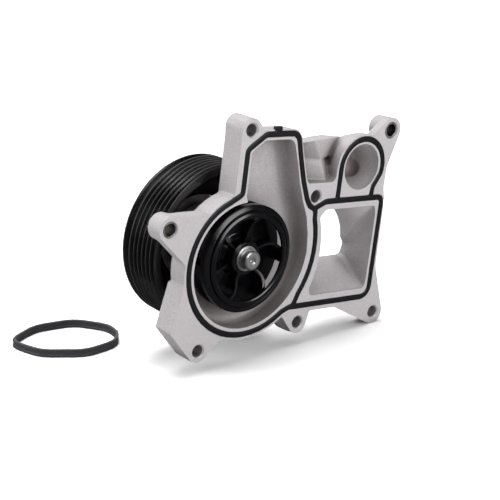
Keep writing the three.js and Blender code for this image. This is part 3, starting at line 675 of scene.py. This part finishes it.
def blade(angle):
    """One vane: radial by the hub, then swept back, with a front edge that slopes to the rim."""
    root, tip, bend, sweep, half, steps = 8.6, 28.6, 16, math.radians(0.2), 0.75, 30
    line = []
    for k in range(steps + 1):
        radius = root + (tip - root) * k / steps
        turn = angle - sweep * max(0, radius - bend) ** 2
        line.append(Vector((radius * math.cos(turn), radius * math.sin(turn))))
    sides = ([], [])
    for k, point in enumerate(line):
        along = (line[min(k + 1, steps)] - line[max(k - 1, 0)]).normalized()
        across = Vector((-along.y, along.x))
        taper = half * (0.65 + 0.35 * min(1, (steps - k) / 6))
        sides[0].append(tuple(point + across * taper))
        sides[1].append(tuple(point - across * taper))
    front = lathe([(0, -8), (40, -8), (40, 2.7), (27.9, 2.7), (27.4, 0.9), (24.3, -0.2),
                   (23, 0.2), (13.7, 3.2), (0, 3.6)], 96)
    mesh = combine(upright(sides[0] + sides[1][::-1], -2, 9.4), front, "DIFFERENCE")
    return applied(mesh, "BEVEL", width=0.28 * MM, segments=3, limit_method="ANGLE",
                   angle_limit=math.radians(50))


def impeller():
    """The back plate with its vanes, the front ring and the metal bush in the hub."""
    blades, first_blade = 6, 21
    vents, first_vent, vent_circle = 3, 4.45, 12.2
    disc = lathe(soften([
        (7.1, 0), (8.9, 0), (9.5, 0.8), (9.5, 6.4, 1.5), (11.7, 8.6, 1.5), (29.5, 8.6),
        (29.5, 10.6), (7.1, 10.6),
    ], 0.35))
    for k in range(blades):
        disc = combine(disc, blade(math.radians(60 * k + first_blade)), "UNION")
    for k in range(vents):
        angle = FULL_TURN * k / vents + first_vent
        centre = (vent_circle * math.cos(angle), vent_circle * math.sin(angle))
        disc = combine(disc, rod(1.2, 8, 11, 32, centre), "DIFFERENCE")
    add("impeller_moulding", disc, "rotor", "impeller_plastic", ["impeller"])
    shroud = soften([
        (23.1, -2.6), (23.9, -3), (24.7, -3), (26.1, -2.5), (26.1, -1, 0.1), (26.8, -1, 0.1),
        (26.8, -2), (27.5, -2), (29.8, -1.1, 0.6), (29.8, 2.3), (28.1, 2.3), (27.3, 0.6, 1),
        (24.3, -0.6, 1),
        (23.1, -1.2),
    ], 0.22)
    add("impeller_shroud_ring", lathe(shroud, 192), "rotor", "impeller_plastic", ["impeller_shroud"])
    add("impeller_insert_bush", tube(7, 5.4, -0.5, 10.4), "rotor", "plain_steel", ["impeller_insert"])


def pulley():
    radius, groove, first_crest, pitch, ribs = 45.87, 2.7, 42.57, 3.56, 6
    near, far, bore = 21.2, 48.9, 40.3
    ribbed = []
    for k in range(ribs):
        valley = first_crest - pitch * (ribs - k - 0.5)
        ribbed += [
            (radius, valley - pitch / 2 + 0.28, 0.25), (radius - groove, valley - 0.35, 0.3),
            (radius - groove, valley + 0.35, 0.3), (radius, valley + pitch / 2 - 0.28, 0.25),
        ]
    profile = [
        (24.1, 43.4), (33, 43.4, 2), (bore - 3, 42, 2), (bore, 38.5, 2), (bore, near + 0.8),
        (bore + 0.8, near), (radius - 0.3, near, 0.1),
        *ribbed,
        (radius, first_crest + 0.55, 0.25), (radius - groove, first_crest + 1.75, 0.3),
        (radius - groove, far - 2.6, 0.5), (radius - 0.6, far - 1.4), (radius - 0.15, far - 0.8),
        (radius - 0.15, far), (bore + 0.4, far), (bore - 1, far - 2.5, 0.8), (24.1, far - 2.5),
    ]
    add("pulley_rim", lathe(soften(profile, 0.3), 256), "rotor", "pulley_black", ["pulley"])


def rotor():
    shaft()
    impeller()
    hub = [(8, 42.2), (12.5, 42.2), (12.5, 43.6, 0.8), (24, 43.6), (24, 46.6), (8, 46.6)]
    add("drive_hub_turned", lathe(soften(hub, 0.3)), "rotor", "plain_steel", ["drive_hub"])
    pulley()


# ------------------------------------------------------------------ stage
UP = Vector((-0.10, 0.06, 0.993)).normalized()


def plane_frame(point):
    """A matrix with its origin at a point and its z axis along the floor's normal."""
    side = Vector((1, 0, 0)) - UP * UP.x
    side.normalize()
    rows = Matrix((side, UP.cross(side), UP)).transposed().to_4x4()
    return Matrix.Translation(point) @ rows


def seen_by(nodes, kind):
    """1 for rays of one kind, Camera or Glossy, and 0 for all others."""
    return nodes.new("ShaderNodeLightPath").outputs[f"Is {kind} Ray"]


def paper():
    """White paper: bright to the camera, plain in the light it sends back, dark in reflections."""
    shader = Shader("paper")
    shader.set(Roughness=0.95, Specular_IOR_Level=0.1)
    paper_grain = shader.span(shader.noise(8, 2), 0, 1)
    bounced = shader.blend(paper_grain, (0.7,) * 3, (0.72,) * 3)
    split = shader.nodes.new("ShaderNodeSeparateXYZ")
    shader.links.new(shader.place, split.inputs["Vector"])
    behind = shader.span(split.outputs["Y"], 0, 1, -0.1, 0.3)
    reflected = shader.blend(behind, (0.1,) * 3, (0.8,) * 3)
    mirrored = shader.blend(seen_by(shader.nodes, "Glossy"), bounced, reflected)
    direct = shader.blend(paper_grain, (1.86,) * 3, (1.9,) * 3)
    shader.colour(seen_by(shader.nodes, "Camera"), mirrored, direct)
    distance = shader.nodes.new("ShaderNodeVectorMath")
    distance.operation = "LENGTH"
    shader.links.new(shader.place, distance.inputs[0])
    glow = shader.nodes.new("ShaderNodeMath")
    glow.operation = "MULTIPLY"
    shader.links.new(shader.span(distance.outputs["Value"], 0, 1, 0.3, 0.75), glow.inputs[0])
    shader.links.new(seen_by(shader.nodes, "Camera"), glow.inputs[1])
    shader.set(Emission_Color=(1, 1, 1, 1))
    shader.links.new(glow.outputs[0], shader.surface.inputs["Emission Strength"])
    return shader.material


def spare_gasket(level):
    """A second duct gasket, lying loose and slightly out of shape on the floor by the pulley."""
    slack = 1.06
    mesh = gasket_mesh()
    mesh.materials.append(DRY_RUBBER)
    centre = spot(GASKET["x"], GASKET_END - GASKET["height"] / 2, GASKET["z"])
    for vertex in mesh.vertices:
        local = vertex.co - centre
        angle = math.atan2(local.z, local.x)
        sag = slack + 0.025 * math.sin(3 * angle + 0.5) + 0.02 * math.sin(7 * angle)
        vertex.co = Vector((local.x * sag, local.y, local.z * sag))
    foot = Vector((-0.0563, 0.0417, 0))
    foot += UP * (level + GASKET["height"] * MM / 2 - foot.dot(UP))
    lie_down = Matrix.Rotation(math.radians(90), 4, "X")
    turn = Matrix.Rotation(math.radians(63), 4, "Z")
    mesh.transform(plane_frame(foot) @ turn @ lie_down)
    mesh.polygons.foreach_set("use_smooth", [True] * len(mesh.polygons))
    mesh.set_sharp_from_angle(angle=math.radians(40))
    ring = bpy.data.objects.new("spare_gasket", mesh)
    SCENE.collection.objects.link(ring)
    ring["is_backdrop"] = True


def floor():
    """A plain pale floor under the pump's lowest point."""
    graph = bpy.context.evaluated_depsgraph_get()
    level = min((piece.matrix_world @ vertex.co).dot(UP)
                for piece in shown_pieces() for vertex in piece.evaluated_get(graph).data.vertices)
    bm = bmesh.new()
    bmesh.ops.create_grid(bm, x_segments=8, y_segments=8, size=6)
    bmesh.ops.transform(bm, verts=bm.verts, matrix=plane_frame(UP * level))
    mesh = to_mesh(bm)
    mesh.materials.append(paper())
    ground = bpy.data.objects.new("floor", mesh)
    SCENE.collection.objects.link(ground)
    ground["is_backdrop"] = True
    return level


def light(name, place, size, power):
    """A soft box aimed at the pump; its place and size are in metres, its power in watts."""
    data = bpy.data.lights.new(name, "AREA")
    data.shape = "RECTANGLE"
    data.size, data.size_y = size
    data.energy = power
    lamp = bpy.data.objects.new(name, data)
    lamp.location = place
    pump_middle = Vector((0.02, -0.03, 0.0))
    lamp.rotation_euler = (pump_middle - Vector(place)).to_track_quat("-Z", "Y").to_euler()
    SCENE.collection.objects.link(lamp)


def studio():
    """A white backdrop behind the pump, a dim room in front of it, and soft boxes round it."""
    world = bpy.data.worlds.new("studio")
    SCENE.world = world
    world.use_nodes = True
    nodes, links = world.node_tree.nodes, world.node_tree.links
    direction = nodes.new("ShaderNodeTexCoord").outputs["Generated"]

    def patch(towards, start, end, low, high):
        """Brightness that grows from low to high as a ray's direction nears one direction."""
        near = nodes.new("ShaderNodeVectorMath")
        near.operation = "DOT_PRODUCT"
        links.new(direction, near.inputs[0])
        near.inputs[1].default_value = towards
        ramp = nodes.new("ShaderNodeMapRange")
        for name, number in zip(("From Min", "From Max", "To Min", "To Max"), (start, end, low, high)):
            ramp.inputs[name].default_value = number
        links.new(near.outputs["Value"], ramp.inputs["Value"])
        return ramp.outputs["Result"]

    mirrored = nodes.new("ShaderNodeMath")
    mirrored.operation = "MAXIMUM"
    links.new(patch((0, 1, 0), -0.1, 0.5, 0.04, 0.9), mirrored.inputs[0])
    links.new(patch((-0.34, -0.55, 0.76), 0.88, 0.96, 0, 2.4), mirrored.inputs[1])
    ambient = nodes.new("ShaderNodeMix")
    ambient.inputs["A"].default_value = 0.17
    links.new(seen_by(nodes, "Glossy"), ambient.inputs["Factor"])
    links.new(mirrored.outputs["Value"], ambient.inputs["B"])
    strength = nodes.new("ShaderNodeMix")
    strength.inputs["B"].default_value = 1
    links.new(seen_by(nodes, "Camera"), strength.inputs["Factor"])
    links.new(ambient.outputs["Result"], strength.inputs["A"])
    background = nodes["Background"]
    background.inputs["Color"].default_value = (1, 1, 1, 1)
    links.new(strength.outputs["Result"], background.inputs["Strength"])
    light("front", (0.3, -0.95, 0.25), (0.5, 0.5), 4.8)
    light("top", (-0.15, 0.15, 0.9), (0.8, 0.6), 6)
    light("left", (-0.8, 0.35, 0.25), (0.4, 0.6), 2.5)
    SCENE.view_settings.view_transform = "Standard"


def camera():
    """The photographer's place: left of the mounting face and a little above the shaft."""
    right = Vector((0.7541, -0.6459, 0.1194))
    up = Vector((0.0847, 0.2759, 0.9574))
    back = right.cross(up)
    data = bpy.data.cameras.new("camera")
    data.lens, data.sensor_width = 108, 36
    data.clip_start, data.clip_end = 0.01, 50
    eye = bpy.data.objects.new("camera", data)
    SCENE.collection.objects.link(eye)
    turn = Matrix((right, back.cross(right), back)).transposed().to_4x4()
    eye.matrix_world = Matrix.Translation((-0.51661, -0.61394, 0.21366)) @ turn
    SCENE.camera = eye


housing()
seals_and_sleeves()
bearing()
shaft_seal()
rotor()
spare_gasket(floor())
studio()
camera()
